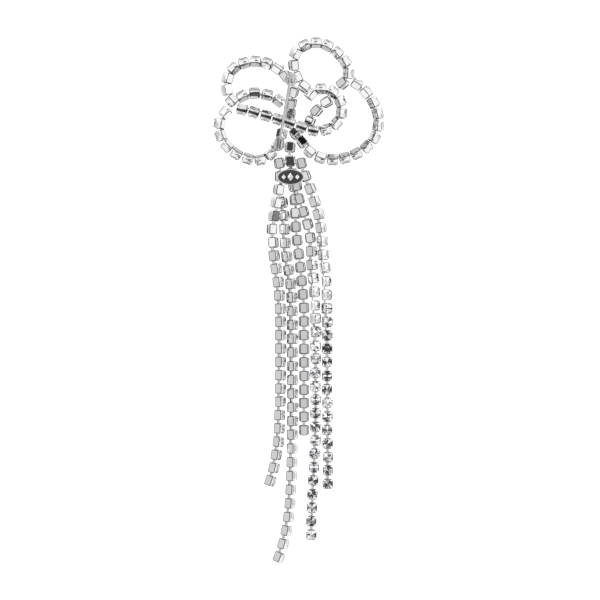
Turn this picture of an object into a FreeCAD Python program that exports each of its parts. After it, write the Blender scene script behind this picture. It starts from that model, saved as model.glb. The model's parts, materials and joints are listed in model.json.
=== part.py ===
import FreeCAD, Part
import os
from math import cos, pi, radians, sin, sqrt

os.makedirs("parts", exist_ok=True)
Vector = FreeCAD.Vector

# A bow brooch of rhinestone cup chain with a five-strand fringe. All lengths are in millimetres.
# The origin is halfway along the pin stem, on its axis. +Z is up, +Y is the front, where the stones
# of the bow look, and -Y is the back, where the pin is. +X is the right as seen from the back.

# One cup of the chain, a stamped square tub with a claw at each corner.
base_along = 2.7            # the flat back, along the chain and across it
base_across = 1.9
cup_mouth = 2.95            # side of the square rim
base_corner = 0.35          # corner radius at the back
mouth_corner = 0.6          # corner radius at the rim
wall_height = 1.95          # back to rim
claw_height = 2.5           # back to claw tips
floor_thickness = 0.2
claw_gap = 1.7              # width of the opening between two claws
cup_middle = 1.3            # height above the back at which the chain's line runs

# The stone, an eight-sided brilliant held under the claws.
stone_sides = 8
stone_radius = 1.33
seat_radius = 1.36          # the cup's inside at the girdle
girdle_low = 1.95
girdle_high = 2.08
table_height = 2.6
table_radius = 0.78
culet_height = 0.85
culet_radius = 0.25

# The flat link that joins two cups through the slots in their walls.
link_width = 0.85
link_thickness = 0.2
link_height = 0.45          # middle of the link above the cup's back
link_reach = 0.85           # from the cup's axis to the link's end
slot_width = 1.4
slot_top = 0.75
pivot_reach = 1.12          # from the cup's axis to the point where a strand bends

# The pin: a stem on a hinge at the top and a catch with a turning safety sleeve at the bottom.
hinge_place = Vector(1.6, 0, 9.1)
catch_place = Vector(-1.6, 0, -9.1)
stem_radius = 0.4
stem_root_radius = 0.44     # at the eye, narrowing to the stem's own radius below the hinge's ball
stem_root_length = 1.75
taper_start = 2.2           # above the catch's middle, from where the stem narrows to its point
stem_past_catch = 3.0
point_radius = 0.06
ball_radius = 1.5
eye_radius = 0.95
eye_thickness = 0.88
fork_gap = 1.0
rivet_radius = 0.3
running_clearance = 0.03
foot_near = 1.5             # the feet's soldered plates lie between these depths
foot_far = 2.0
hinge_foot_radius = 1.9
catch_foot_radius = 1.7
housing_radius = 1.35
housing_length = 2.0
sleeve_radius = 0.84
sleeve_bore = 0.5
sleeve_slot = 0.95
housing_slot = 1.15
collar_radius = 1.15
collar_length = 0.35
lever_reach = 1.75
lever_width = 0.7
lever_turn = 38             # degrees from the slot to the lever

# The oval plaque at the head of the fringe.
plaque_place = Vector(1.55, 0.75, -18.3)
plaque_half_width = 3.85
plaque_half_height = 2.25
plaque_thickness = 0.9
rim_width = 0.33
enamel_depth = 0.3
motif_rise = 0.12

# Solder posts between the feet or the plaque and the cups behind them: x, z, radius, the depths between
# which the post runs, and the cup it meets.
solder_posts = [
    (0.35, 9.62, 0.55, foot_far, 3.6, "upper_left_loop", 8),
    (-2.3, -9.4, 0.6, foot_far, 5.2, "lower_left_loop", 1),
    (-1.15, -18.3, 0.55, plaque_place.y + plaque_thickness, 3.2, "strand_1", 1),
    (2.75, -19.8, 0.45, plaque_place.y + plaque_thickness, 3.0, "strand_4", 0),
]

# The chains of the bow. A station is x, y, z and the roll of the stones about the chain's line:
# 0 looks to the front, and 90 looks out of the loop, which runs clockwise as seen from the back.
bow_chains = {
    "upper_left_loop": (9, [
        (-15.0, 3.6, 3.3, 40), (-16.4, 3.7, 7.3, 25), (-14.9, 4.1, 11.7, 50), (-10.0, 4.5, 14.2, 58),
        (-4.5, 4.3, 13.6, 45), (0.2, 3.9, 10.1, 20)]),
    "lower_left_loop": (10, [
        (-0.9, 6.8, -6.0, 55), (-2.4, 5.6, -9.6, 60), (-6.2, 4.3, -13.2, 70), (-12.0, 4.0, -12.5, 62),
        (-17.0, 3.9, -8.6, 55), (-18.5, 3.8, -4.2, 64), (-16.8, 3.7, -0.1, 58)]),
    "middle_left_loop": (4, [
        (-12.0, 4.6, 4.6, 60), (-8.5, 4.4, 5.4, 35), (-4.8, 4.6, 4.9, 50), (-1.8, 5.4, 3.4, 45)]),
    "crossing_loop": (14, [
        (7.1, 3.0, 5.0, 45), (10.5, 3.5, 6.6, 66), (14.1, 3.7, 5.1, 52), (15.9, 3.9, 1.4, 60),
        (14.8, 3.4, -2.7, 50), (10.0, 2.97, -5.3, 58), (3.6, 2.8, -3.9, 60), (-5.0, 2.88, -1.2, 60),
        (-12.0, 3.5, 0.7, 58)]),
    "inner_row": (3, [(11.6, 4.6, 2.9, 5), (8.6, 5.6, 0.5, 8), (6.9, 6.6, -2.3, 10)]),
    "top_loop": (11, [
        (5.4, 5.6, 7.4, 15), (2.5, 4.8, 13.0, 15), (3.0, 4.2, 16.6, 38), (8.6, 4.3, 19.6, 64),
        (14.8, 4.3, 16.6, 56), (17.8, 4.1, 10.8, 45), (16.2, 4.9, 8.2, 20)]),
    "right_loop": (14, [
        (20.2, 4.2, 7.9, 30), (24.9, 4.3, 2.6, 50), (26.3, 4.3, -2.7, 45), (24.2, 4.3, -8.4, 50),
        (18.1, 4.2, -12.4, 48), (10.6, 3.9, -13.0, 42), (7.2, 3.8, -11.2, 20), (5.0, 4.3, -8.5, 10),
        (3.0, 6.0, -6.0, 5)]),
    "centre_column": (3, [(2.4, 3.6, 5.8, 0), (1.7, 5.2, 2.7, 0), (1.5, 7.0, -0.3, 0)]),
}

# The five strands of the fringe, numbered from the left as seen from the back. Each starts under the
# knot, and its stones roll from the front (0) through the right (90) to the back (180).
# The second value is how many cups are soldered to the head, and the third how many hang in each part.
strands = [
    (6, (6, 6, 7), [
        (-1.6, 3.6, -14.3, 0), (-1.5, 3.7, -20.5, -15), (-2.8, 3.6, -27.5, -32), (-3.5, 3.6, -33.0, -10),
        (-3.2, 3.6, -39.0, 22), (-2.0, 3.6, -47.0, 27), (-1.3, 3.6, -58.0, 27), (-1.3, 3.6, -72.0, 27),
        (-1.5, 3.6, -85.0, 27), (-2.5, 3.6, -96.5, 27), (-4.1, 3.6, -103.2, 27)]),
    (2, (8, 8, 9), [
        (-0.8, 6.6, -25.2, 15), (-0.2, 5.5, -31.0, 25), (0.3, 5.2, -39.0, 27), (1.55, 5.2, -48.0, 27),
        (2.0, 5.2, -60.0, 27), (2.1, 5.2, -76.0, 27), (2.0, 5.2, -92.0, 27), (1.6, 5.2, -106.0, 27),
        (0.9, 5.2, -114.0, 27), (-1.7, 5.2, -124.7, 27)]),
    (7, (5, 5, 5), [
        (1.4, 3.6, -9.8, 0), (1.4, 3.9, -13.4, 0), (2.4, 6.7, -20.5, 0), (2.8, 6.5, -27.6, 0),
        (3.2, 6.2, -34.0, 0), (4.25, 6.0, -43.0, 0), (5.2, 6.0, -54.0, 0), (5.3, 6.0, -62.0, 0),
        (5.3, 6.0, -75.0, 0), (5.3, 6.0, -89.2, 0)]),
    (5, (7, 7, 8), [
        (3.2, 3.5, -20.6, 0), (4.9, 3.6, -27.3, 0), (6.8, 3.6, -33.6, 5), (7.5, 3.6, -41.0, 32),
        (8.3, 3.6, -50.0, 68), (8.6, 3.6, -56.5, 105), (8.6, 3.6, -62.0, 165), (8.6, 3.6, -66.0, 180),
        (8.6, 3.6, -76.0, 180), (8.5, 3.6, -88.0, 180), (8.0, 3.6, -101.0, 180),
        (7.3, 3.6, -118.3, 180)]),
    (6, (6, 6, 7), [
        (4.6, 3.7, -14.3, 0), (5.7, 3.7, -18.0, 8), (7.9, 3.7, -23.7, 28), (9.8, 3.6, -30.4, 33),
        (10.6, 3.6, -38.5, 52), (11.6, 3.6, -46.4, 84), (11.8, 3.6, -54.0, 120), (11.8, 3.6, -60.5, 172),
        (11.8, 3.6, -64.5, 180), (11.8, 3.6, -78.0, 180), (11.9, 3.6, -91.0, 180),
        (11.9, 3.6, -104.1, 180)]),
]
strand_parts = ("upper", "middle", "lower")


def export(name, solids):
    Part.makeCompound(solids).exportStep("parts/" + name + ".step")
    print(name, len(solids), "solids")


def rounded_rectangle(along, across, corner, height):
    """Four corner arcs joined by straight sides, drawn anticlockwise."""
    pull = corner * (1 - sqrt(0.5))
    arcs = []
    for x_sign, y_sign in ((1, 1), (-1, 1), (-1, -1), (1, -1)):
        x, y = x_sign * along / 2, y_sign * across / 2
        ends = [Vector(x, y - y_sign * corner, height), Vector(x - x_sign * corner, y, height)]
        if x_sign != y_sign:
            ends.reverse()
        arcs.append((ends[0], Vector(x - x_sign * pull, y - y_sign * pull, height), ends[1]))
    edges = []
    for arc, next_arc in zip(arcs, arcs[1:] + arcs[:1]):
        edges += [Part.Arc(*arc).toShape(), Part.makeLine(arc[2], next_arc[0])]
    return Part.Wire(edges)


def polygon(radius, height):
    turns = [2 * pi * i / stone_sides for i in range(stone_sides + 1)]
    return [Vector(radius * cos(turn), radius * sin(turn), height) for turn in turns]


def block(x_size, y_size, z_low, z_high):
    return Part.makeBox(x_size, y_size, z_high - z_low, Vector(-x_size / 2, -y_size / 2, z_low))


def make_cup():
    rim = rounded_rectangle(cup_mouth, cup_mouth, mouth_corner, wall_height)
    tub = Part.makeLoft([rounded_rectangle(base_along, base_across, base_corner, 0), rim], True, True)
    claw_length = claw_height - wall_height
    lean = Part.makeCone(1.95, 1.5, claw_length, Vector(0, 0, wall_height))
    crown = Part.Face(rim).extrude(Vector(0, 0, claw_length)).common(lean)
    for x_size, y_size in ((claw_gap, 4), (4, claw_gap)):
        crown = crown.cut(block(x_size, y_size, wall_height, claw_height + 1))
    seat_low, seat_high = 1.85, girdle_high + 0.02
    hollow = Part.makeCone(0.8, seat_radius, seat_low - floor_thickness, Vector(0, 0, floor_thickness))
    hollow = hollow.fuse(Part.makeCylinder(seat_radius, seat_high - seat_low, Vector(0, 0, seat_low)))
    hollow = hollow.fuse(Part.makeCone(seat_radius, 1.12, claw_height - seat_high, Vector(0, 0, seat_high)))
    slots = block(4, slot_width, floor_thickness, slot_top)
    return tub.fuse(crown).cut(hollow).cut(slots).removeSplitter().Solids[0]


def make_stone():
    """Flat facets between eight-sided outlines, closed by the culet below and the table above."""
    outlines = [polygon(culet_radius, culet_height), polygon(stone_radius, girdle_low),
                polygon(stone_radius, girdle_high), polygon(table_radius, table_height)]
    facets = [Part.Face(Part.makePolygon(outlines[0])), Part.Face(Part.makePolygon(outlines[-1]))]
    for low, high in zip(outlines, outlines[1:]):
        for i in range(stone_sides):
            corners = [low[i], low[i + 1], high[i + 1], high[i], low[i]]
            facets.append(Part.Face(Part.makePolygon(corners)))
    return Part.makeSolid(Part.makeShell(facets))


def placement(middle, along, out):
    across = out.cross(along)
    return FreeCAD.Placement(FreeCAD.Matrix(
        along.x, across.x, out.x, middle.x,
        along.y, across.y, out.y, middle.y,
        along.z, across.z, out.z, middle.z,
        0, 0, 0, 1))


def lay_chain(count, stations):
    """Spaces the cups evenly along a smooth line through the stations: place, line and stone axis."""
    line = Part.BSplineCurve()
    line.interpolate([Vector(x, y, z) for x, y, z, roll in stations])
    first, total = line.FirstParameter, line.length()
    marks = [line.length(first, line.parameter(Vector(x, y, z))) if i else 0.0
             for i, (x, y, z, roll) in enumerate(stations)]
    marks[-1] = total
    rolls = [station[3] for station in stations]
    cups = []
    for i in range(count):
        distance = total * i / (count - 1)
        span = max(k for k in range(len(marks) - 1) if marks[k] <= distance + 1e-6)
        share = (distance - marks[span]) / (marks[span + 1] - marks[span])
        roll = radians(rolls[span] + share * (rolls[span + 1] - rolls[span]))
        middle, along = line.getD1(line.parameterAtDistance(distance, first))
        along.normalize()
        side = along.cross(Vector(0, 1, 0)).normalize()
        front = side.cross(along)
        cups.append((middle, along, front * cos(roll) + side * sin(roll)))
    return cups, total / (count - 1)


def place_cup(shape, cup):
    middle, along, out = cup
    return shape.transformed(placement(middle - out * cup_middle, along, out).toMatrix(), True)


def make_link(cup, next_cup):
    start = cup[0] + cup[2] * (link_height - cup_middle) + cup[1] * link_reach
    end = next_cup[0] + next_cup[2] * (link_height - cup_middle) - next_cup[1] * link_reach
    along = (end - start).normalize()
    out = cup[2] + next_cup[2]
    out = (out - along * out.dot(along)).normalize()
    length = (end - start).Length
    strip = Part.makeBox(length, link_width, link_thickness,
                         Vector(0, -link_width / 2, -link_thickness / 2))
    return strip.transformed(placement(start, along, out).toMatrix(), True)


def export_chain(name, cups, last_cup=None):
    """Cups and links share a node. A link to last_cup joins the next part of the same strand."""
    followers = cups[1:] + ([last_cup] if last_cup else [])
    links = [make_link(cup, follower) for cup, follower in zip(cups, followers)]
    export(name + "_chain", [place_cup(cup_shape, cup) for cup in cups] + links)
    export(name + "_stones", [place_cup(stone_shape, cup) for cup in cups])


def make_post(x, z, radius, near, far, row, index):
    """A round post, cut off where it meets the outside of a cup."""
    post = Part.makeCylinder(radius, far - near, Vector(x, near, z), Vector(0, 1, 0))
    pieces = post.cut(place_cup(cup_block, rows[row][index])).Solids
    return min(pieces, key=lambda piece: piece.BoundBox.YMin)


cup_shape, stone_shape = make_cup(), make_stone()
cup_block = Part.makeLoft([rounded_rectangle(base_along, base_across, base_corner, 0),
                           rounded_rectangle(cup_mouth, cup_mouth, mouth_corner, wall_height)], True, True)
rows = {}

# The bow.
for name, (count, stations) in bow_chains.items():
    cups, pitch = lay_chain(count, stations)
    print(name, "pitch", round(pitch, 2))
    rows[name] = cups
    export_chain(name, cups)

# The fringe: a soldered head, and three parts of each strand that hang from one another.
head_chain, head_stones = [], []
for number, (head_count, part_counts, stations) in enumerate(strands, 1):
    cups, pitch = lay_chain(head_count + sum(part_counts), stations)
    print("strand", number, "pitch", round(pitch, 2))
    rows["strand_%d" % number] = cups
    head = cups[:head_count + 1]
    head_chain += [place_cup(cup_shape, cup) for cup in head[:-1]]
    head_chain += [make_link(cup, follower) for cup, follower in zip(head, head[1:])]
    head_stones += [place_cup(stone_shape, cup) for cup in head[:-1]]
    first = head_count
    for part, part_count in zip(strand_parts, part_counts):
        middle, along, out = cups[first]
        pivot = middle + out * (link_height - cup_middle) - along * pivot_reach
        print("pivot strand_%d_%s %.4f %.4f %.4f" % (number, part, pivot.x, pivot.y, pivot.z))
        last = first + part_count
        follower = cups[last] if last < len(cups) else None
        export_chain("strand_%d_%s" % (number, part), cups[first:last], follower)
        first = last
export("fringe_head_chain", head_chain)
export("fringe_head_stones", head_stones)

export("solder_posts", [make_post(*post) for post in solder_posts])

# The pin. Its parts are drawn on the stem's own axes: x across, y to the front, z up the stem.
up_stem = (hinge_place - catch_place).normalize()
stem_turn = FreeCAD.Rotation(Vector(0, 0, 1), up_stem)


def on_stem(shape, place):
    return shape.transformed(FreeCAD.Placement(place, stem_turn).toMatrix(), True)


def bar_x(radius, length):
    return Part.makeCylinder(radius, length, Vector(-length / 2, 0, 0), Vector(1, 0, 0))


def bar_y(radius, near, far):
    return Part.makeCylinder(radius, far - near, Vector(0, near, 0), Vector(0, 1, 0))


def bar_z(radius, low, high):
    return Part.makeCylinder(radius, high - low, Vector(0, 0, low))


def box(x_size, y_low, y_high, z_low, z_high):
    return Part.makeBox(x_size, y_high - y_low, z_high - z_low, Vector(-x_size / 2, y_low, z_low))


fork_floor = eye_radius + 0.15
fork = Part.makeSphere(ball_radius).fuse(bar_y(1.2, 0, foot_near))
fork = fork.cut(box(fork_gap, -3, fork_floor, -3, 3)).cut(bar_x(rivet_radius + 0.005, 4))
export("hinge_housing", [on_stem(fork.fuse(bar_y(hinge_foot_radius, foot_near, foot_far)).removeSplitter(),
                                 hinge_place)])
export("hinge_rivet", [on_stem(bar_x(rivet_radius, 2 * ball_radius - 0.12), hinge_place)])

pin_length = (hinge_place - catch_place).Length
stem_end = -pin_length - stem_past_catch
wire_end = taper_start - pin_length
stem = bar_x(eye_radius, eye_thickness)
stem = stem.fuse(Part.makeCone(stem_radius, stem_root_radius, stem_root_length,
                               Vector(0, 0, -stem_root_length)))
stem = stem.fuse(bar_z(stem_radius, wire_end, -stem_root_length))
stem = stem.fuse(Part.makeCone(point_radius, stem_radius, wire_end - stem_end, Vector(0, 0, stem_end)))
stem = stem.cut(bar_x(rivet_radius + running_clearance, 4)).removeSplitter()
export("pin_stem", [on_stem(stem, hinge_place)])

half_housing = housing_length / 2
housing = bar_z(housing_radius, -half_housing, half_housing)
housing = housing.fuse(box(1.6, 0, foot_near, -half_housing, half_housing))
housing = housing.cut(bar_z(sleeve_radius + running_clearance, -2, 2))
housing = housing.cut(box(housing_slot, -3, 0, -2, 2))
export("catch_housing", [on_stem(housing.fuse(bar_y(catch_foot_radius, foot_near, foot_far))
                                 .removeSplitter(), catch_place)])

end_gap = 0.05
sleeve_half = half_housing + end_gap + collar_length
sleeve = bar_z(sleeve_radius, -sleeve_half, sleeve_half)
sleeve = sleeve.fuse(bar_z(collar_radius, sleeve_half - collar_length, sleeve_half))
lever = Part.makeBox(lever_width, lever_reach, collar_length,
                     Vector(-lever_width / 2, -lever_reach, -sleeve_half))
lever.rotate(Vector(0, 0, 0), Vector(0, 0, 1), lever_turn)
sleeve = sleeve.fuse(lever).cut(bar_z(sleeve_bore, -2, 2))
sleeve = sleeve.cut(box(sleeve_slot, -3, 0, -2, 2)).removeSplitter()
export("safety_sleeve", [on_stem(sleeve, catch_place)])


# The plaque: an oval dish with a black enamel field and a plain row of raised lozenges.
def oval(shrink, near, far):
    flat = Part.Ellipse(Vector(0, 0, 0), plaque_half_width - shrink, plaque_half_height - shrink)
    disc = Part.Face(Part.Wire(flat.toShape())).extrude(Vector(0, 0, far - near))
    disc.rotate(Vector(0, 0, 0), Vector(1, 0, 0), -90)
    disc.translate(plaque_place + Vector(0, near, 0))
    return disc


def lozenge(offset, half_width, half_height):
    corners = [(half_width, 0), (0, half_height), (-half_width, 0), (0, -half_height), (half_width, 0)]
    outline = Part.makePolygon([plaque_place + Vector(offset + x, -motif_rise, z) for x, z in corners])
    return Part.Face(outline).extrude(Vector(0, motif_rise, 0))


export("plaque_dish", [oval(0, -0.1, plaque_thickness).cut(oval(rim_width, -0.2, enamel_depth))])
export("plaque_enamel", [oval(rim_width, 0, enamel_depth)])
export("plaque_motif", [lozenge(0, 0.8, 1.1)] + [lozenge(side * 1.9, 0.6, 0.7) for side in (-1, 1)])
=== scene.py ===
# A bow brooch of rhinestone cup chain, with a five-strand fringe, seen from its back.
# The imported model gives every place: each crystal's solid says where its cup stands and how it is turned.
# Lengths in the dictionaries are in millimetres and are turned into metres where a mesh is made.
import bmesh
import bpy
import json
import math
import numpy as np
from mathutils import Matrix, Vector


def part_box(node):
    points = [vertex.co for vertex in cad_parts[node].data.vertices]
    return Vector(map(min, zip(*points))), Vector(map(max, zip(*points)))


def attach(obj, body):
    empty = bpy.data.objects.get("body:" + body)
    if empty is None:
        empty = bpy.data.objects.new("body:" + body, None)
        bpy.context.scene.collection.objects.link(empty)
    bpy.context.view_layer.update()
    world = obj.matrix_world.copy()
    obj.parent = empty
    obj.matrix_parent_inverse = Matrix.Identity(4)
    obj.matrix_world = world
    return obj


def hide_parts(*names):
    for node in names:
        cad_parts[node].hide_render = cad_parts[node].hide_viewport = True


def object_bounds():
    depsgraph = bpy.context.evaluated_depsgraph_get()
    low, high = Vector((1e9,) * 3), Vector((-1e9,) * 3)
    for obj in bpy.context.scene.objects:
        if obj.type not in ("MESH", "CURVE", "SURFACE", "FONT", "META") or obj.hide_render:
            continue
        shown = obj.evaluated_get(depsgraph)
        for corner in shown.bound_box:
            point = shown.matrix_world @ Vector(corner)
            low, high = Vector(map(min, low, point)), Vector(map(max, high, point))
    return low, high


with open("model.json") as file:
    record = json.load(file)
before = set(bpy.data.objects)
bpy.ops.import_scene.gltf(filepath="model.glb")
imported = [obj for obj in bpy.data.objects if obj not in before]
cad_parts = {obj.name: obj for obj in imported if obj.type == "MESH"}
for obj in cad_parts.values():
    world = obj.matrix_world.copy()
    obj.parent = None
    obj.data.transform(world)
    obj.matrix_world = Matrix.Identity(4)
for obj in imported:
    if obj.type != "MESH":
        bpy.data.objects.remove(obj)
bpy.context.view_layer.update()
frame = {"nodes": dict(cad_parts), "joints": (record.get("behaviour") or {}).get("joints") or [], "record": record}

mm = 0.001
mergeWithin = 0.004 * mm
record = frame["record"]
bodyOf = {node: body for body, nodes in record["behaviour"]["bodies"].items() for node in nodes}
rng = np.random.default_rng(12)


# A shader socket that can be added and multiplied in plain Python.
class Sock:
    def __init__(self, tree, link):
        self.tree, self.link = tree, link

    def maths(self, operation, first, second=None):
        values = [first] if second is None else [first, second]
        return node(self.tree, "ShaderNodeMath", {"operation": operation}, values)

    def __add__(self, other): return self.maths("ADD", self, other)
    def __radd__(self, other): return self.maths("ADD", other, self)
    def __sub__(self, other): return self.maths("SUBTRACT", self, other)
    def __rsub__(self, other): return self.maths("SUBTRACT", other, self)
    def __mul__(self, other): return self.maths("MULTIPLY", self, other)
    def __rmul__(self, other): return self.maths("MULTIPLY", other, self)

    def clipped(self):
        return node(self.tree, "ShaderNodeClamp", {}, [self])


# any other node: its settings first, then the values or links of its sockets, by place or by name
def node(tree, kind, settings, sockets, out=0):
    made = tree.nodes.new(kind)
    for name, value in settings.items():
        if name == "stops":
            ramp = made.color_ramp
            while len(ramp.elements) < len(value):
                ramp.elements.new(0.5)
            for element, (place, colour) in zip(ramp.elements, value):
                element.position, element.color = place, (*colour, 1)
        else:
            setattr(made, name, value)
    pairs = sockets.items() if isinstance(sockets, dict) else enumerate(sockets)
    for name, value in pairs:
        if isinstance(value, Sock):
            tree.links.new(value.link, made.inputs[name])
        elif value is not None:
            made.inputs[name].default_value = value
    return Sock(tree, made.outputs[out]) if made.outputs else None


def newMaterial(name):
    material = bpy.data.materials.new(name)
    material.use_nodes = True
    tree = material.node_tree
    tree.nodes.clear()
    place = node(tree, "ShaderNodeTexCoord", {}, [], out="Object")
    return material, tree, place


def finish(material, tree, surface):
    node(tree, "ShaderNodeOutputMaterial", {}, {"Surface": surface})
    return material


def mixed(tree, share, first, second):
    return node(tree, "ShaderNodeMix", {"data_type": "RGBA"}, {0: share, 6: first, 7: second}, out=2)


def noise(tree, place, scale, detail=3.0, roughness=0.5):
    return node(tree, "ShaderNodeTexNoise", {}, {"Vector": place, "Scale": scale, "Detail": detail,
                                                "Roughness": roughness})


def attribute(tree, name):
    return node(tree, "ShaderNodeAttribute", {"attribute_name": name}, [], out="Fac")


# A node's solids, one array of corners for each, in the order in which the solids were made. The mesh is
# loose triangles, so a copy is merged first, and its corners are parted by the edges that join them.
def solidsOf(name):
    merged = bmesh.new()
    merged.from_mesh(frame["nodes"][name].data)
    bmesh.ops.remove_doubles(merged, verts=merged.verts, dist=mergeWithin)
    merged.verts.index_update()
    points = np.array([corner.co for corner in merged.verts])
    edges = np.array([[corner.index for corner in edge.verts] for edge in merged.edges])
    merged.free()
    label = np.arange(len(points))
    while True:                                   # every corner takes the lowest label along its edges
        settled = label.copy()
        lowest = label[edges].min(axis=1)
        np.minimum.at(settled, edges.reshape(-1), np.repeat(lowest, 2))
        if (settled == label).all():
            break
        label = settled
    return [points[label == mark] for mark in np.unique(label)]


# the mean height of the solid's corners above the cup's back, and how many of the usual gaps part two heads
crystalSolid = {"meanHeight": 1.87, "sides": 8, "headGap": 1.3}


# The axis of an eight-sided solid is the direction along which its corners spread least, and it points away
# from the culet, which is the lone far end.
def crystalAxes(name):
    shells = np.array(solidsOf(name))
    middle = shells.mean(axis=1)
    spread = shells - middle[:, None]
    values, vectors = np.linalg.eigh(np.einsum("npi,npj->nij", spread, spread))
    out = vectors[:, :, 0]
    skew = (np.einsum("npi,ni->np", spread, out) ** 3).sum(axis=1)
    out = out * np.where(skew > 0, -1, 1)[:, None]
    across = spread - np.einsum("np,ni->npi", np.einsum("npi,ni->np", spread, out), out)
    widest = np.linalg.norm(across, axis=2).argmax(axis=1)
    corner = across[np.arange(len(shells)), widest]
    corner /= np.linalg.norm(corner, axis=1)[:, None]
    return middle, out, corner


# One row of cups: each cup's along, across and out directions and the middle of its back, as a 4 by 3 array.
# The solid's corners point along the chain, so of its eight the one nearest to the chain's run is taken.
def rowFrames(middle, out, corner):
    run = np.gradient(middle, axis=0)
    turns = np.arange(crystalSolid["sides"]) * 2 * math.pi / crystalSolid["sides"]
    side = np.cross(out, corner)
    choices = np.cos(turns)[:, None, None] * corner + np.sin(turns)[:, None, None] * side
    best = np.einsum("kni,ni->kn", choices, run).argmax(axis=0)
    along = choices[best, np.arange(len(middle))]
    across = np.cross(out, along)
    origin = middle - out * crystalSolid["meanHeight"] * mm
    return np.stack([along, across, out, origin], axis=1)


# Rows of cups by chain: (frames, the frame of the first cup of the part that hangs from the row, or None).
def readRows():
    rows = {}
    groups = [name[:-7] for name in sorted(frame["nodes"]) if name.endswith("_stones")]
    loose = [name for name in groups if not name.startswith(("strand", "fringe"))]
    for name in loose:
        rows[name] = [(rowFrames(*crystalAxes(name + "_stones")), None)]
    headMiddle, headOut, headCorner = crystalAxes("fringe_head_stones")
    gaps = np.linalg.norm(np.diff(headMiddle, axis=0), axis=1)
    cuts = np.flatnonzero(gaps > crystalSolid["headGap"] * np.median(gaps)) + 1
    heads = [np.split(part, cuts) for part in (headMiddle, headOut, headCorner)]
    rows["fringe_head"] = []
    for number, head in enumerate(zip(*heads), 1):
        names = ["strand_%d_%s" % (number, part) for part in ("upper", "middle", "lower")]
        parts = [crystalAxes(name + "_stones") for name in names]
        whole = rowFrames(*[np.concatenate(piece) for piece in zip(head, *parts)])
        ends = np.cumsum([len(head[0])] + [len(part[0]) for part in parts])
        rows["fringe_head"].append((whole[:ends[0]], whole[ends[0]]))
        for name, start, end in zip(names, ends, ends[1:]):
            rows[name] = [(whole[start:end], whole[end] if end < len(whole) else None)]
    return rows


cupRows = readRows()
print("cups:", sum(len(cups) for rows in cupRows.values() for cups, _ in rows))


def newPiece(name, points, faces, materials, body, replaced=(), faceMaterials=None, smooth=None):
    mesh = bpy.data.meshes.new(name)
    mesh.from_pydata(np.asarray(points).tolist(), [], faces)
    for material in materials:
        mesh.materials.append(material)
    if faceMaterials is not None:
        mesh.polygons.foreach_set("material_index", np.asarray(faceMaterials, np.int32))
    if smooth is not None:                        # smooth faces, with sharp edges past this many degrees
        mesh.polygons.foreach_set("use_smooth", np.ones(len(mesh.polygons), bool))
        mesh.set_sharp_from_angle(angle=math.radians(smooth))
    mesh.update()
    piece = bpy.data.objects.new(name, mesh)
    bpy.context.scene.collection.objects.link(piece)
    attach(piece, body)
    if replaced:
        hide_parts(*replaced)
    return piece


# Copies of one shape: its points are turned by each frame's three directions and moved to its place.
def copies(points, faces, frames):
    placed = np.einsum("pi,nij->npj", points, frames[:, :3]) + frames[:, 3][:, None]
    step = len(points)
    return placed.reshape(-1, 3), [[corner + step * k for corner in face]
                                   for k in range(len(frames)) for face in faces]


def joined(shapes):
    points, faces, start = [], [], 0
    for shapePoints, shapeFaces in shapes:
        points.append(np.asarray(shapePoints))
        faces += [[corner + start for corner in face] for face in shapeFaces]
        start += len(shapePoints)
    return np.concatenate(points), faces


# The quads of a grid of rows by columns, whose columns close into a ring.
def gridFaces(rows, columns, kept=None):
    faces = []
    for i in range(rows - 1):
        for j in range(columns):
            if kept is None or kept(i, j):
                low, high, right = i * columns, (i + 1) * columns, (j + 1) % columns
                faces.append([low + j, low + right, high + right, high + j])
    return faces


# A closed surface round an axis: (radius, height) pairs from pole to pole, turned about z, so a point is at
# radius times cosine, radius times sine and height. The radius of 0 at either end is a single point.
def turned(profile, sides):
    profile = np.asarray(profile, float)
    turn = np.arange(sides) * 2 * math.pi / sides
    rings = profile[1:-1]
    points = np.stack([rings[:, :1] * np.cos(turn), rings[:, :1] * np.sin(turn),
                       np.repeat(rings[:, 1:], sides, axis=1)], axis=2).reshape(-1, 3)
    points = np.vstack([points, [0, 0, profile[0, 1]], [0, 0, profile[-1, 1]]])
    low, high = len(points) - 2, len(points) - 1
    last = (len(rings) - 1) * sides
    faces = gridFaces(len(rings), sides)
    faces += [[low, (j + 1) % sides, j] for j in range(sides)]
    faces += [[high, last + j, last + (j + 1) % sides] for j in range(sides)]
    return points, faces


# A rounded block: x, y and z each a power of the sphere's, so that small powers give flat sides.
def roundedBlock(size, squareness=0.35, columns=16, rows=9):
    def power(value):
        return np.sign(value) * np.abs(value) ** squareness
    lift = np.linspace(-math.pi / 2, math.pi / 2, rows)[1:-1, None]
    turn = np.arange(columns) * 2 * math.pi / columns
    ring = np.stack([power(np.cos(lift)) * power(np.cos(turn)), power(np.cos(lift)) * power(np.sin(turn)),
                     power(np.sin(lift)) * np.ones(columns)], axis=2).reshape(-1, 3)
    points = np.vstack([ring, [0, 0, -1], [0, 0, 1]]) * np.asarray(size) / 2
    low, high, last = len(points) - 2, len(points) - 1, (rows - 3) * columns
    faces = gridFaces(rows - 2, columns)
    faces += [[low, (j + 1) % columns, j] for j in range(columns)]
    faces += [[high, last + j, last + (j + 1) % columns] for j in range(columns)]
    return points, faces


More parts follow.
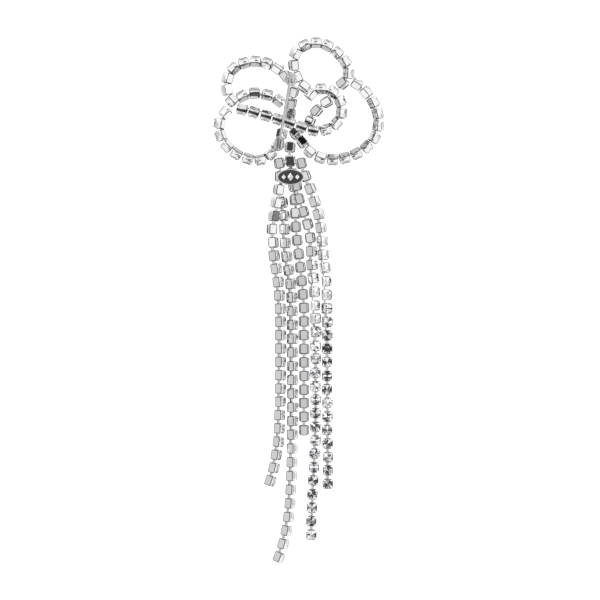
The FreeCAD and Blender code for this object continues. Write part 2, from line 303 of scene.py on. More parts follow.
def platedMetal(name, values):
    material, tree, place = newMaterial(name)
    cloud = noise(tree, place, values["cloudScale"], 4.0)
    grain = noise(tree, place, values["grainScale"], 6.0, 0.7)
    tone = attribute(tree, "pieceTone")
    share = (cloud * 0.6 + tone * 0.5).clipped()
    colour = mixed(tree, share, (*values["deep"], 1), (*values["bright"], 1))
    # painted shade and painted dark reflections: where a point's value passes 0.42 the colour goes towards near
    # black
    dark = ((attribute(tree, "seam") - 0.42) * 3.2).clipped() * values["seam"]
    colour = mixed(tree, dark, colour, (0.02, 0.02, 0.024, 1))
    roughness = values["roughness"] + (cloud - 0.5) * values["roughnessSpread"] + grain * 0.03
    bump = node(tree, "ShaderNodeBump", {}, {"Strength": values["bump"], "Distance": 0.02 * mm,
                                            "Height": grain})
    surface = node(tree, "ShaderNodeBsdfPrincipled", {}, {
        "Base Color": colour, "Metallic": 1.0, "Roughness": roughness, "Normal": bump})
    return finish(material, tree, surface)


def crystalGlass():
    material, tree, place = newMaterial("crystalGlass")
    tone = attribute(tree, "facetTone")
    colour = mixed(tree, tone, (0.93, 0.95, 0.98, 1), (1.0, 1.0, 1.0, 1))
    surface = node(tree, "ShaderNodeBsdfPrincipled", {}, {
        "Base Color": colour, "Roughness": 0.02 + noise(tree, place, 900.0) * 0.02, "IOR": 1.6,
        "Transmission Weight": 1.0})
    return finish(material, tree, surface)


def crystalFoil():
    material, tree, place = newMaterial("crystalFoil")
    tone = attribute(tree, "facetTone")
    # painted dark and bright facet reflections: each facet's random value sets the foil's colour from black to
    # white
    colour = node(tree, "ShaderNodeValToRGB", {"stops": (
        (0.0, (0.015, 0.015, 0.02)), (0.22, (0.03, 0.03, 0.035)),
        (0.34, (0.5, 0.5, 0.52)), (0.55, (0.98, 0.98, 0.98)))},
        [tone])
    surface = node(tree, "ShaderNodeBsdfPrincipled", {}, {
        "Base Color": colour, "Metallic": 1.0, "Roughness": 0.05 + noise(tree, place, 1500.0) * 0.05})
    return finish(material, tree, surface)


def wireSteel():
    material, tree, place = newMaterial("wireSteel")
    stretched = node(tree, "ShaderNodeMapping", {}, {"Vector": place, "Scale": (9.0, 9.0, 0.4)})
    lines = noise(tree, stretched, 900.0, 5.0, 0.6)
    cloud = noise(tree, place, 320.0)
    share = (lines * 0.5 + cloud * 0.5).clipped()
    colour = mixed(tree, share, (0.34, 0.345, 0.36, 1), (0.92, 0.925, 0.935, 1))
    bump = node(tree, "ShaderNodeBump", {}, {"Strength": 0.25, "Distance": 0.01 * mm, "Height": lines})
    surface = node(tree, "ShaderNodeBsdfPrincipled", {}, {
        "Base Color": colour, "Metallic": 1.0, "Roughness": 0.07 + lines * 0.08, "Normal": bump})
    return finish(material, tree, surface)


def blackEnamel():
    material, tree, place = newMaterial("blackEnamel")
    flow = noise(tree, place, 420.0, 2.0)
    specks = noise(tree, place, 5200.0, 4.0, 0.7)
    share = (flow * 0.7 + specks * 0.3).clipped()
    colour = mixed(tree, share, (0.006, 0.006, 0.008, 1), (0.024, 0.024, 0.028, 1))
    bump = node(tree, "ShaderNodeBump", {}, {"Strength": 0.18, "Distance": 0.02 * mm, "Height": flow})
    surface = node(tree, "ShaderNodeBsdfPrincipled", {}, {
        "Base Color": colour, "Roughness": 0.12 + specks * 0.12, "Coat Weight": 0.6, "Coat Roughness": 0.05,
        "Normal": bump})
    return finish(material, tree, surface)


def floorPaper():
    material, tree, place = newMaterial("floorPaper")
    fibre = noise(tree, place, 60.0, 5.0, 0.6)
    colour = mixed(tree, fibre, (0.93, 0.93, 0.93, 1), (0.96, 0.96, 0.955, 1))
    surface = node(tree, "ShaderNodeBsdfPrincipled", {}, {
        "Base Color": colour, "Roughness": 0.9, "Specular IOR Level": 0.0,
        "Emission Color": colour, "Emission Strength": 0.75})
    return finish(material, tree, surface)


chainMetal = platedMetal("chainMetal", {
    "bright": (0.97, 0.97, 0.975), "deep": (0.82, 0.825, 0.835), "cloudScale": 380.0, "grainScale": 7000.0,
    "roughness": 0.075, "roughnessSpread": 0.05, "bump": 0.03, "seam": 0.95})
solderMetal = platedMetal("solderMetal", {
    "bright": (0.86, 0.86, 0.87), "deep": (0.62, 0.62, 0.64), "cloudScale": 900.0, "grainScale": 5200.0,
    "roughness": 0.2, "roughnessSpread": 0.12, "bump": 0.35, "seam": 0})
castMetal = platedMetal("castMetal", {
    "bright": (0.96, 0.96, 0.965), "deep": (0.78, 0.785, 0.8), "cloudScale": 500.0, "grainScale": 6000.0,
    "roughness": 0.06, "roughnessSpread": 0.05, "bump": 0.05, "seam": 0})
pinMetal = platedMetal("pinMetal", {
    "bright": (1.0, 1.0, 1.0), "deep": (0.1, 0.1, 0.11), "cloudScale": 900.0, "grainScale": 6000.0,
    "roughness": 0.06, "roughnessSpread": 0.05, "bump": 0.05, "seam": 0.9})
glass, foil, steel, enamel = crystalGlass(), crystalFoil(), wireSteel(), blackEnamel()
print("finishes made")


def setTone(piece, name, values, domain="POINT"):
    layer = piece.data.attributes.new(name, "FLOAT", domain)
    layer.data.foreach_set("value", np.asarray(values, np.float32))


cup = {
    "backAlong": 2.85, "backAcross": 2.15, "backCorner": 0.3, "backFlat": 0.32, "mouth": 2.95,
    "mouthCorner": 0.6, "wallHeight": 1.95, "clawHeight": 2.5, "slotLow": 0.16, "slotHigh": 0.8,
    "wallThickness": 0.14, "backRounding": 0.13, "wallBulge": 0.09, "clawLean": 0.38, "tilt": 1.8,
}
# how much painted shade and painted dark reflection darken the metal at each of the cup's rows, from the back's
# middle to the claw tips
paintedShadeAndReflectionRows = {"bright": (0, 1, 0.4, 0, 0.55, 0.3), "knot": (1, 0, 0.5, 0, 0.5, 0.2),
         "striped": (0.3, 0.2, 0.3, 1, 0, 0.3)}
# cups near the knot get a painted dark reflection on the back, and the crossing loop's lower half gets one along
# its walls
paintedDarkReflection = {"knotX": 1.6, "knotZ": -8.2, "knotWide": 4.4, "knotHigh": 5.2, "stripedFrom": 7}


# The cup is one sheet, rows from the back to the claw tips by sixteen columns: three on each corner's arc and
# one in the middle of each side, pushed out by the wall's bulge. A row is a rounded rectangle whose sides
# and corner grow straight from the back to the mouth. Cells are left out at the two slots for the links
# and between the claws.
def cupShape():
    turn = np.radians([0, 0, 45, 90, 90, 90, 135, 180, 180, 180, 225, 270, 270, 270, 315, 360])
    xSide = np.array([1, 1, 1, 1, 0, -1, -1, -1, -1, -1, -1, -1, 0, 1, 1, 1])
    ySide = np.array([0, 1, 1, 1, 1, 1, 1, 1, 0, -1, -1, -1, -1, -1, -1, -1])
    middle = (xSide == 0) | (ySide == 0)
    rows = [(0, cup["backFlat"], 0), (0, cup["backRounding"], 0), (cup["slotLow"], 0, 0.1),
            (cup["slotHigh"], 0, 0.9), (cup["wallHeight"], 0, 0.2), (cup["clawHeight"], cup["clawLean"], 0)]
    height, inset, bulge = np.array(rows).T[:, :, None]
    share = np.minimum(height / cup["wallHeight"], 1)
    halfAlong = (cup["backAlong"] + share * (cup["mouth"] - cup["backAlong"])) / 2 - inset
    halfAcross = (cup["backAcross"] + share * (cup["mouth"] - cup["backAcross"])) / 2 - inset
    corner = cup["backCorner"] + share * (cup["mouthCorner"] - cup["backCorner"]) - inset * 0.4
    push = corner + bulge * cup["wallBulge"] * middle
    points = np.stack([xSide * (halfAlong - corner) + push * np.cos(turn),
                       ySide * (halfAcross - corner) + push * np.sin(turn),
                       height + 0 * turn], axis=2).reshape(-1, 3)
    slotRow, clawRow, ends, arcs = 2, 4, (15, 0, 7, 8), (1, 2, 5, 6, 9, 10, 13, 14)
    kept = lambda i, j: not (i == slotRow and j in ends) and (i < clawRow or j in arcs)
    faces = gridFaces(len(rows), 16, kept=kept) + [list(range(15, -1, -1))]
    return points * mm, faces


# Which painted shade and painted dark reflection each cup gets, by where it lies: a dark back near the knot, a
# dark band along the walls on the crossing loop's later cups, and otherwise a dark line at the back's edge and a
# fainter one at the mouth.
def paintedShadeAndReflectionOf(name, frames):
    place = frames[:, 3] / mm
    near = np.hypot((place[:, 0] - paintedDarkReflection["knotX"]) / paintedDarkReflection["knotWide"],
                    (place[:, 2] - paintedDarkReflection["knotZ"]) / paintedDarkReflection["knotHigh"]) < 1
    kinds = np.where(near, "knot", "bright")
    if name == "crossing_loop":
        kinds = np.where(np.arange(len(frames)) < paintedDarkReflection["stripedFrom"], "bright", "striped")
    return np.concatenate([np.repeat(paintedShadeAndReflectionRows[kind], 16) for kind in kinds])


# Each cup sits a little off true: its frame is turned by small random angles about its along and across.
def tilted(frames):
    angle = rng.normal(0, math.radians(cup["tilt"]), (len(frames), 3, 1))
    directions = frames[:, :3]
    axis = angle[:, 0:1] * directions[:, 0:1] + angle[:, 1:2] * directions[:, 1:2]
    leaning = directions + np.cross(axis, directions)
    along = leaning[:, 0] / np.linalg.norm(leaning[:, 0], axis=1, keepdims=True)
    out = leaning[:, 2] - (leaning[:, 2] * along).sum(axis=1, keepdims=True) * along
    out /= np.linalg.norm(out, axis=1, keepdims=True)
    return np.stack([along, np.cross(out, along), out, frames[:, 3]], axis=1)


link = {"width": 1.2, "thickness": 0.2, "height": 0.48, "reach": 1.12, "waist": 0.12, "stations": 5,
        "seam": 0.5, "tone": 0.4}


# A strip carried along a cubic curve that leaves one cup along its chain and enters the next the same way.
# Its section is a flattened octagon, a little narrower in the middle of the strip.
def linkShapes(frames, followers):
    reach, height = link["reach"] * mm, link["height"] * mm
    start = frames[:, 3] + frames[:, 0] * reach + frames[:, 2] * height
    end = followers[:, 3] - followers[:, 0] * reach + followers[:, 2] * height
    span = np.linalg.norm(end - start, axis=1)[:, None, None]
    s = np.linspace(0, 1, link["stations"])[None, :, None]
    first, last = frames[:, None, 0] * span, followers[:, None, 0] * span
    middle = ((2 * s ** 3 - 3 * s ** 2 + 1) * start[:, None] + (s ** 3 - 2 * s ** 2 + s) * first
              + (3 * s ** 2 - 2 * s ** 3) * end[:, None] + (s ** 3 - s ** 2) * last)
    run = np.gradient(middle, axis=1)
    side = (1 - s) * frames[:, None, 1] + s * followers[:, None, 1]
    up = np.cross(run, side)
    up /= np.linalg.norm(up, axis=2, keepdims=True)
    side = np.cross(up, run)
    side /= np.linalg.norm(side, axis=2, keepdims=True)
    turn = np.radians(np.arange(22.5, 360, 45))
    halfWidth = (link["width"] / 2 - link["waist"] * np.sin(math.pi * s)) * mm
    wide = halfWidth * np.sign(np.cos(turn)) * np.where(np.abs(np.cos(turn)) > 0.7, 1, 0.86)
    high = link["thickness"] / 2 * mm * np.sign(np.sin(turn)) * np.where(np.abs(np.sin(turn)) > 0.7, 1, 0.5)
    points = (middle[:, :, None] + side[:, :, None] * wide[..., None]
              + up[:, :, None] * (high + 0 * s)[..., None])
    count, stations = points.shape[:2]
    faces = gridFaces(stations, 8) + [list(range(7, -1, -1)), list(range(8 * stations - 8, 8 * stations))]
    step = 8 * stations
    return points.reshape(-1, 3), [[corner + step * k for corner in face]
                                   for k in range(count) for face in faces]


crystal = {
    "tableRadius": 0.78, "tableHeight": 2.6, "starRadius": 1.09, "girdleRadius": 1.33, "girdleTop": 2.08,
    "girdleLow": 1.97, "halfRadius": 0.6, "culetHeight": 0.86,
}


# A brilliant: a table with eight stars, eight kites and sixteen small facets down to the girdle, and under it
# sixteen halves and eight mains down to the culet. The star and half points lie in the planes of the kites
# and mains, so their heights follow from the lines table to girdle and girdle to culet.
def crystalShape():
    full, half = np.arange(8) * math.pi / 4, (np.arange(8) + 0.5) * math.pi / 4

    def ring(radius, height, turn):
        return np.stack([radius * np.cos(turn), radius * np.sin(turn), height + 0 * turn], axis=1)

    def onLine(radius, fromRadius, fromHeight, toRadius, toHeight):
        share = (radius * math.cos(math.pi / 8) - fromRadius) / (toRadius - fromRadius)
        return fromHeight + share * (toHeight - fromHeight)

    c = crystal
    starHeight = onLine(c["starRadius"], c["tableRadius"], c["tableHeight"],
                        c["girdleRadius"], c["girdleTop"])
    halfHeight = onLine(c["halfRadius"], c["girdleRadius"], c["girdleLow"], 0, c["culetHeight"])
    girdle = np.arange(16) * math.pi / 8
    points = np.vstack([ring(c["tableRadius"], c["tableHeight"], full),
                        ring(c["starRadius"], starHeight, half),
                        ring(c["girdleRadius"], c["girdleTop"], girdle),
                        ring(c["girdleRadius"], c["girdleLow"], girdle),
                        ring(c["halfRadius"], halfHeight, half), [[0, 0, c["culetHeight"]]]])
    table, star, top, low, halves, culet = 0, 8, 16, 32, 48, 56
    crown, pavilion = [list(range(8))], []
    for k in range(8):
        after, before, g = (k + 1) % 8, (k - 1) % 8, 2 * k
        g1, g2 = (g + 1) % 16, (g + 2) % 16
        crown += [[table + k, star + k, table + after], [table + k, star + before, top + g, star + k],
                  [star + k, top + g, top + g1], [star + k, top + g1, top + g2]]
        crown += [[low + g, low + g1, top + g1, top + g], [low + g1, low + g2, top + g2, top + g1]]
        pavilion += [[halves + k, low + g1, low + g], [halves + k, low + g2, low + g1],
                     [culet, halves + k, low + g, halves + before]]
    return points * mm, crown + pavilion, [0] * len(crown) + [1] * len(pavilion)


cupPoints, cupFaces = cupShape()
crystalPoints, crystalFaces, crystalSides = crystalShape()
for name, rows in cupRows.items():
    body = bodyOf[name + "_chain"]
    frames = np.concatenate([cups for cups, _ in rows])
    settled = tilted(frames)
    points, faces = copies(cupPoints, cupFaces, settled)
    cups = newPiece(name + "_cups", points, faces, [chainMetal], body,
                    [name + "_chain"], smooth=40)
    setTone(cups, "pieceTone", np.repeat(rng.random(len(frames)), len(cupPoints)))
    # painted shade and painted dark reflections on the cups' metal
    setTone(cups, "seam", paintedShadeAndReflectionOf(name, frames))
    wall = cups.modifiers.new("sheet thickness", "SOLIDIFY")
    wall.thickness, wall.offset, wall.use_even_offset = cup["wallThickness"] * mm, -1, True
    before = [np.concatenate([row[0][:-1]] + ([row[0][-1:]] if row[1] is not None else [])) for row in rows]
    after = [np.concatenate([row[0][1:]] + ([row[1][None]] if row[1] is not None else [])) for row in rows]
    points, faces = linkShapes(np.concatenate(before), np.concatenate(after))
    links = newPiece(name + "_links", points, faces, [chainMetal], body,
                     [name + "_chain"], smooth=50)
    setTone(links, "pieceTone", np.full(len(points), link["tone"]))
    # painted shade on the links, which lie between the cups: their colour is darkened a little
    setTone(links, "seam", np.full(len(points), link["seam"]))
    points, faces = copies(crystalPoints, crystalFaces, settled)
    stones = newPiece(name + "_crystals", points, faces, [glass, foil], body, [name + "_stones"],
                      faceMaterials=crystalSides * len(frames))
    # each facet's random value: a slight random tint in the glass, and painted dark and bright reflections on the
    # foil
    setTone(stones, "facetTone", rng.random(len(faces)), "FACE")
print("chains made:", len(cupRows))


joints = {joint["name"]: joint for joint in frame["joints"]}
hingePlace = np.array(joints["pin_hinge"]["pos_m"])
catchPlace = np.array(joints["sleeve_turn"]["pos_m"])
stemAcross = -np.array(joints["pin_hinge"]["axis"])
stemUp = np.array(joints["sleeve_turn"]["axis"])
stemLength = np.linalg.norm(hingePlace - catchPlace) / mm


# A shape in millimetres on the stem's axes: x across it, y to the brooch's front, z up it.
def onStem(shape, place):
    axes = np.stack([stemAcross, np.cross(stemUp, stemAcross), stemUp, place / mm])
    points, faces = copies(np.asarray(shape[0]), shape[1], axes[None])
    return points * mm, faces


def toFront(shape):                               # a shape turned about z comes to stand about y
    points = np.asarray(shape[0])
    return np.stack([points[:, 0], points[:, 2], -points[:, 1]], axis=1), shape[1]


def toBack(shape):                                # and here it looks at the viewer, along -y
    points = np.asarray(shape[0])
    return np.stack([points[:, 0], -points[:, 2], points[:, 1]], axis=1), shape[1]


def toSide(shape):                                # about x
    return np.asarray(shape[0])[:, [2, 0, 1]], shape[1]


def mirrored(shape):
    return np.asarray(shape[0]) * [-1, 1, 1], [face[::-1] for face in shape[1]]


def moved(shape, x=0, y=0, z=0, turn=0):
    c, s = math.cos(math.radians(turn)), math.sin(math.radians(turn))
    return np.asarray(shape[0]) @ np.array([[c, s, 0], [-s, c, 0], [0, 0, 1]]) + [x, y, z], shape[1]


# A tube with a slot along its -y side: a loop of outer arc and inner arc, carried up z, its ends rounded by
# drawing both arcs into the wall.
def slottedTube(outer, inner, slot, halfLength, rounding=0.08, columns=28):
    def arc(radius):
        gap = math.asin(min(slot / 2 / radius, 1))
        return -math.pi / 2 + np.linspace(gap, 2 * math.pi - gap, columns)
    rings = []
    for height, inset in ((-halfLength, rounding), (rounding - halfLength, 0),
                          (halfLength - rounding, 0), (halfLength, rounding)):
        out, back = arc(outer), arc(inner)[::-1]
        rings.append(np.concatenate([
            np.stack([radius * np.cos(turn), radius * np.sin(turn), height + 0 * turn], axis=1)
            for radius, turn in ((outer - inset, out), (inner + inset, back))]))
    loop = 2 * columns
    faces = gridFaces(4, loop)
    top = 3 * loop
    for j in range(columns - 1):
        faces.append([j, loop - 1 - j, loop - 2 - j, j + 1])
        faces.append([top + j, top + j + 1, top + loop - 2 - j, top + loop - 1 - j])
    return np.concatenate(rings), faces


pin = {
    "wireRadius": 0.4, "rootRadius": 0.44, "rootLength": 1.75, "taperStart": 2.2, "pastCatch": 3.0,
    "ballRadius": 1.5, "forkGap": 1.0, "eyeRadius": 0.95, "eyeThickness": 0.88, "rivetRadius": 0.3,
    "hingeFoot": 1.9, "catchFoot": 1.7, "footNear": 1.5, "footFar": 2.0,
    "housingRadius": 1.35, "housingLength": 2.0, "housingSlot": 1.15, "sleeveRadius": 0.84,
    "sleeveBore": 0.5, "sleeveSlot": 0.95, "collarRadius": 1.15, "collarLength": 0.35,
    "leverReach": 1.75, "leverWidth": 0.7, "leverTurn": 38, "runningGap": 0.03, "endGap": 0.05, "tone": 0.55,
    "taperPower": 0.75, "neckRadius": 1.15,
}


# The profile of a disc with rounded rims, for turning.
def disc(radius, near, far, rounding):
    rim = rounding * 0.3
    return [(0, near), (radius - rounding, near), (radius - rim, near + rim), (radius, near + rounding),
            (radius, far - rounding), (radius - rim, far - rim), (radius - rounding, far), (0, far)]


def makePin():
    p = pin
    half = p["forkGap"] / 2
    sweep = np.linspace(math.acos(half / p["ballRadius"]) - 0.03, 0, 12)
    cheek = [(0, half), (math.sqrt(p["ballRadius"] ** 2 - half ** 2) - 0.08, half)]
    cheek += [(p["ballRadius"] * math.sin(a), p["ballRadius"] * math.cos(a)) for a in sweep[:-1]]
    cheek = toSide(turned(cheek + [(0, p["ballRadius"])], 36))
    neck = toFront(turned(disc(p["neckRadius"], 1.1, 1.6, 0.05), 32))
    foot = toFront(turned(disc(p["hingeFoot"], p["footNear"], p["footFar"], 0.14), 40))
    points, faces = onStem(joined([cheek, mirrored(cheek), neck, foot]), hingePlace)
    ball = newPiece("hinge_ball", points, faces, [pinMetal], "bow",
                    ["hinge_housing"], smooth=40)
    setTone(ball, "pieceTone", np.full(len(points), p["tone"]))

    r, x = p["rivetRadius"], p["ballRadius"]
    head = [(0, -x - 0.05), (r * 0.8, -x - 0.03), (r * 1.15, -x + 0.06), (r, -x + 0.14)]
    rivet = head + [(radius, -height) for radius, height in head[::-1]]
    points, faces = onStem(toSide(turned(rivet, 20)), hingePlace)
    newPiece("hinge_rivet_steel", points, faces, [steel], "bow", ["hinge_rivet"], smooth=40)

    wireEnd, tip = p["taperStart"] - stemLength, -stemLength - p["pastCatch"]
    taper = [(p["wireRadius"] * share ** p["taperPower"], tip + share * (wireEnd - tip))
             for share in np.linspace(0.04, 1, 9)]
    wire = [(0, tip)] + taper + [(p["wireRadius"], wireEnd * 0.5), (p["wireRadius"], -p["rootLength"]),
                                 (p["rootRadius"], -0.6), (0, -0.4)]
    eye = toSide(turned(disc(p["eyeRadius"], -p["eyeThickness"] / 2, p["eyeThickness"] / 2, 0.12), 32))
    points, faces = onStem(joined([turned(wire, 20), eye]), hingePlace)
    newPiece("pin_wire", points, faces, [steel], "pin_stem", ["pin_stem"], smooth=40)

    halfHousing = p["housingLength"] / 2
    bore = p["sleeveRadius"] + p["runningGap"]
    tube = slottedTube(p["housingRadius"], bore, p["housingSlot"], halfHousing)
    saddle = moved(roundedBlock((1.6, 0.7, 1.9), 0.25), y=1.25)
    foot = toFront(turned(disc(p["catchFoot"], p["footNear"], p["footFar"], 0.14), 40))
    points, faces = onStem(joined([tube, saddle, foot]), catchPlace)
    body = newPiece("catch_body", points, faces, [pinMetal], "bow",
                    ["catch_housing"], smooth=40)
    setTone(body, "pieceTone", np.full(len(points), p["tone"]))

    sleeveHalf = halfHousing + p["endGap"] + p["collarLength"]
    thin = p["collarLength"] / 2
    inner = slottedTube(p["sleeveRadius"], p["sleeveBore"], p["sleeveSlot"], sleeveHalf, 0.05)
    collar = slottedTube(p["collarRadius"], p["sleeveBore"], p["sleeveSlot"], thin, 0.07)
    reach = p["leverReach"] - p["sleeveRadius"] + 0.25
    lever = moved(roundedBlock((p["leverWidth"], reach, 2 * thin), 0.4), y=-p["leverReach"] + reach / 2)
    knob = moved(roundedBlock((0.75, 0.45, 0.5), 0.8), y=-p["leverReach"] + 0.2)
    lever = moved(joined([lever, knob]), z=thin - sleeveHalf, turn=p["leverTurn"])
    points, faces = onStem(joined([inner, moved(collar, z=sleeveHalf - thin), lever]), catchPlace)
    sleeve = newPiece("catch_sleeve", points, faces, [pinMetal], "safety_sleeve",
                      ["safety_sleeve"], smooth=40)
    setTone(sleeve, "pieceTone", np.full(len(points), p["tone"]))


makePin()
print("pin made")


plaque = {"halfWidth": 3.85, "halfHeight": 2.25, "rim": 0.33, "thickness": 0.9, "proud": 0.1, "dome": 0.07,
          "motif": ((0, 0.8, 1.1), (-1.9, 0.6, 0.7), (1.9, 0.6, 0.7))}


# Every ring of the plaque is an oval whose width is its height plus the same extra length.
def ovalTurned(profile, sides=64):
    points, faces = turned(profile, sides)
    turn = np.arctan2(points[:, 1], points[:, 0])
    away = np.hypot(points[:, 0], points[:, 1]) > 1e-9
    points[:, 0] += np.cos(turn) * away * (plaque["halfWidth"] - plaque["halfHeight"])
    return points, faces


def makePlaque():
    low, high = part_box("plaque_dish")
    centre = np.array([(low.x + high.x) / 2, high.y - plaque["thickness"] * mm, (low.z + high.z) / 2])

    def placed(shape):
        points, faces = toBack(shape)
        return points * mm + centre, faces

    h, rim, deep = plaque["halfHeight"], plaque["rim"], -plaque["thickness"]
    dish = [(0, deep), (h - 0.35, deep), (h - 0.07, deep + 0.08), (h, deep + 0.3), (h, -0.06),
            (h - 0.05, 0.05), (h - rim * 0.45, plaque["proud"]), (h - rim * 0.8, 0.07),
            (h - rim, -0.01), (h - rim, -0.25), (0, -0.25)]
    points, faces = placed(ovalTurned(dish))
    newPiece("plaque_rim", points, faces, [castMetal], "bow", ["plaque_dish"], smooth=50)
    edge = h - rim - 0.01
    field = [(0, -0.29), (edge, -0.29), (edge, -0.06), (edge - 0.12, -0.01)]
    field += [(edge * share, plaque["dome"] * (1 - share ** 2)) for share in (0.8, 0.55, 0.3)]
    points, faces = placed(ovalTurned(field + [(0, plaque["dome"])]))
    newPiece("plaque_field", points, faces, [enamel], "bow", ["plaque_enamel"], smooth=40)
    shapes = []
    for offset, halfWide, halfHigh in plaque["motif"]:
        points, faces = turned([(0, -0.05), (1, -0.05), (1, 0.06), (0.72, 0.14), (0, 0.2)], 4)
        shapes.append((points * [halfWide, halfHigh, 1] + [offset, 0, 0], faces))
    points, faces = placed(joined(shapes))
    newPiece("plaque_lozenges", points, faces, [castMetal], "bow", ["plaque_motif"])


makePlaque()


solder = {"reach": 3.35, "radius": 0.62, "waviness": 0.16, "most": 40, "height": 0.9, "drawn": 0.5,
          "smallest": 0.75, "largest": 1.1}
post = {"spread": 0.16, "waist": 0.06}


# A drop of solder wherever cups of two soldered rows come close: a ball drawn towards both cups, with a few
# seeded waves over its radius.
def makeSolder():
    rows = [(name, cups) for name, group in cupRows.items() if bodyOf[name + "_chain"] == "bow"
            for cups, _ in group]
    owner = np.concatenate([np.full(len(cups), k) for k, (name, cups) in enumerate(rows)])
    frames = np.concatenate([cups for name, cups in rows])
    middle = (frames[:, 3] + frames[:, 2] * solder["height"] * mm) / mm
    gap = np.linalg.norm(middle[:, None] - middle[None], axis=2)
    first, second = np.nonzero(np.triu(gap < solder["reach"]) & (owner[:, None] != owner[None]))
    nearest = np.argsort(gap[first, second])[:solder["most"]]
    ball, faces = roundedBlock((2, 2, 2), 1.0, 14, 9)
    shapes = []
    for k in nearest:
        a, b = middle[first[k]], middle[second[k]]
        along = (b - a) / np.linalg.norm(b - a)
        waves = rng.normal(0, 1, (3, 3))
        swell = 1 + solder["waviness"] * np.sin(2.5 * ball @ waves.T).mean(axis=1)
        drop = ball * swell[:, None] * solder["radius"] * rng.uniform(solder["smallest"], solder["largest"])
        drop += np.outer(drop @ along, along) * solder["drawn"]
        shapes.append((drop + (a + b) / 2, faces))
    points, faces = joined(shapes)
    drops = newPiece("solder_drops", points * mm, faces, [solderMetal], "bow", smooth=70)
    setTone(drops, "pieceTone", rng.random(len(points)))
    print("solder drops:", len(shapes))


makeSolder()


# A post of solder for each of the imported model's: turned about its own line, and spread a little at its ends.
def makePosts():
    shapes = []
    for corners in solidsOf("solder_posts"):
        low, high = corners.min(axis=0) / mm, corners.max(axis=0) / mm
        radius, length = (high[0] - low[0]) / 2, high[1] - low[1]
        spread, waist = radius + post["spread"], radius - post["waist"]
        profile = [(0, 0), (spread, 0), (spread, 0.05), (radius, 0.14), (waist, length * 0.4),
                   (waist, length * 0.6), (radius, length - 0.1), (spread, length), (0, length)]
        points, faces = toFront(turned(profile, 20))
        shapes.append((points + [(low[0] + high[0]) / 2, low[1], (low[2] + high[2]) / 2], faces))
    points, faces = joined(shapes)
    piece = newPiece("solder_post_metal", points * mm, faces, [solderMetal], "bow",
                     ["solder_posts"], smooth=50)
    setTone(piece, "pieceTone", rng.random(len(points)))


makePosts()
print("solder posts made")


studio = {
    "floorGap": 14.0, "floorSize": 6.0, "tent": 1.0, "background": 1.15,
    "lens": 150, "distance": 0.7, "aimX": 4.2, "aimY": 3.5, "aimZ": -52.6,
    # the direction a patch of the tent lies in, its angle from centre to edge, its softness, its darkness
    "dark": (((0, -1, 0), 11, 8, 0.36), ((-0.81, -0.59, 0), 17, 9, 0.32), ((-0.99, 0.2, 0), 24, 10, 0.4),
             ((0.8, -0.6, 0.1), 7, 6, 0.8), ((0.99, 0.12, 0), 12, 8, 0.55),
             ((0, 0.34, -0.94), 28, 12, 0.4), ((0, 0.4, 0.92), 28, 12, 0.4),
             ((0, -0.87, -0.5), 5, 5, 0.97), ((0.24, -0.84, -0.48), 5, 5, 0.97),
             ((-0.24, -0.84, -0.48), 5, 5, 0.97),
             ((0, -0.56, -0.83), 9, 6, 0.97), ((0, -0.77, 0.64), 8, 5, 0.95), ((0, 1, 0), 26, 14, 0.9)),
    # each softbox's place in metres, its side and its power
    "boxes": (((-0.42, -0.5, 0.28), 0.22, 0.35), ((0.45, -0.42, 0.1), 0.2, 0.25),
              ((0.1, 0.55, 0.35), 0.3, 0.4)),
}


def makeFloor():
    low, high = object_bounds()
    height, reach = low.z - studio["floorGap"] * mm, studio["floorSize"] / 2
    corner = np.array([[-1, -1], [1, -1], [1, 1], [-1, 1]]) * reach
    mesh = bpy.data.meshes.new("floor")
    mesh.from_pydata([(x, y, height) for x, y in corner.tolist()], [], [[0, 1, 2, 3]])
    mesh.materials.append(floorPaper())
    floor = bpy.data.objects.new("floor", mesh)
    bpy.context.scene.collection.objects.link(floor)
    floor.visible_glossy = False                  # the metal mirrors the tent, which goes all the way round


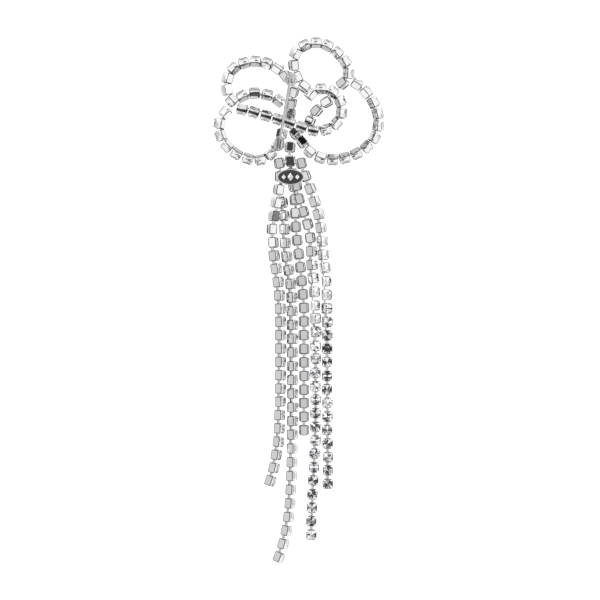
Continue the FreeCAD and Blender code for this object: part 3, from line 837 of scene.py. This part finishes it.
# A pale tent with a few soft dark places in it, which the bright metal needs to show its shape. The
# background that the camera sees is plain.
def makeTent():
    world = bpy.data.worlds.new("studio")
    bpy.context.scene.world = world
    world.use_nodes = True
    tree = world.node_tree
    tree.nodes.clear()
    place = node(tree, "ShaderNodeTexCoord", {}, [], out="Generated")
    shade = 1.0
    for direction, angle, softness, darkness in studio["dark"]:
        aim = Vector(direction).normalized()
        near = node(tree, "ShaderNodeVectorMath", {"operation": "DOT_PRODUCT"},
                    [place, tuple(aim)], out="Value")
        inside = node(tree, "ShaderNodeMapRange", {"interpolation_type": "SMOOTHSTEP"}, {
            "Value": near, "From Min": math.cos(math.radians(angle + softness)),
            "From Max": math.cos(math.radians(angle))})
        shade = shade * (1 - inside * darkness)
    glow = mixed(tree, shade, (0.0, 0.0, 0.0, 1), (1.0, 1.0, 1.0, 1))
    seen = node(tree, "ShaderNodeLightPath", {}, [], out="Is Camera Ray")
    strength = studio["tent"] + seen * (studio["background"] - studio["tent"])
    tone = mixed(tree, seen, glow, (1.0, 1.0, 1.0, 1))
    background = node(tree, "ShaderNodeBackground", {}, {"Color": tone, "Strength": strength})
    node(tree, "ShaderNodeOutputWorld", {}, {"Surface": background})


def makeLights():
    aim = Vector((studio["aimX"] * mm, 0, studio["aimZ"] * mm * 0.5))
    for number, (place, size, power) in enumerate(studio["boxes"], 1):
        lamp = bpy.data.lights.new("softbox%d" % number, "AREA")
        lamp.size, lamp.energy = size, power
        box = bpy.data.objects.new("softbox%d" % number, lamp)
        box.location = place
        box.rotation_euler = (aim - box.location).to_track_quat("-Z", "Y").to_euler()
        bpy.context.scene.collection.objects.link(box)


def makeCamera():
    data = bpy.data.cameras.new("camera")
    data.lens, data.clip_start, data.clip_end = studio["lens"], 0.01, 20
    camera = bpy.data.objects.new("camera", data)
    camera.location = (studio["aimX"] * mm, studio["aimY"] * mm - studio["distance"], studio["aimZ"] * mm)
    camera.rotation_euler = (math.pi / 2, 0, 0)
    bpy.context.scene.collection.objects.link(camera)
    bpy.context.scene.camera = camera


makeFloor()
makeTent()
makeLights()
makeCamera()
bpy.context.scene.view_settings.view_transform = "Standard"
